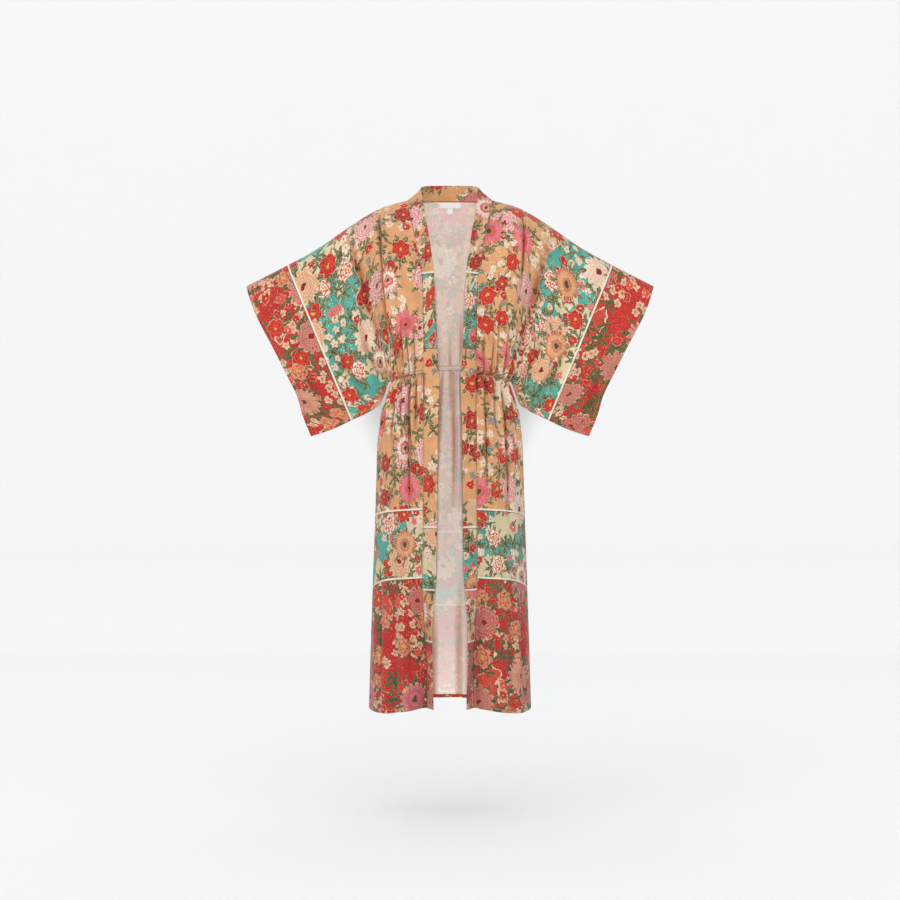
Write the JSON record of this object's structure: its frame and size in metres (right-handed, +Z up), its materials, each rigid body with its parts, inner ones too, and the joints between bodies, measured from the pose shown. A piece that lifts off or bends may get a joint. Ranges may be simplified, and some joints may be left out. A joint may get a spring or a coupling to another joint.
{
  "type": "kimono",
  "caption": "Long open kimono robe with wide cut-in-one sleeves, an elasticated waist, a gathered skirt and one band round the neck and down both fronts, in floral printed viscose.",
  "frame": {"origin": "middle of the back neck seam, at the nape, where the wearer holds the robe up", "axes": "+Z up along the middle back seam line, the front faces -Y, +X towards the wearer's left"},
  "size_m": [1.001, 0.2549, 1.294],
  "materials": {
    "print_bodice": "plain woven viscose, printed with a floral on apricot, teal, cream and red grounds",
    "print_skirt": "plain woven viscose, printed with a floral on apricot, teal, cream and red grounds",
    "print_band": "doubled band of the same printed viscose",
    "label": "bare white woven satin"
  },
  "bodies": {
    "root": {"bodice_back": "print_bodice", "bodice_front_left": "print_bodice", "bodice_front_right": "print_bodice", "skirt_back": "print_skirt", "skirt_front_left": "print_skirt", "skirt_front_right": "print_skirt", "neck_band": "print_band", "front_band_left": "print_band", "front_band_right": "print_band", "neck_label": "label", "size_tab": "label"}
  },
  "joints": []
}
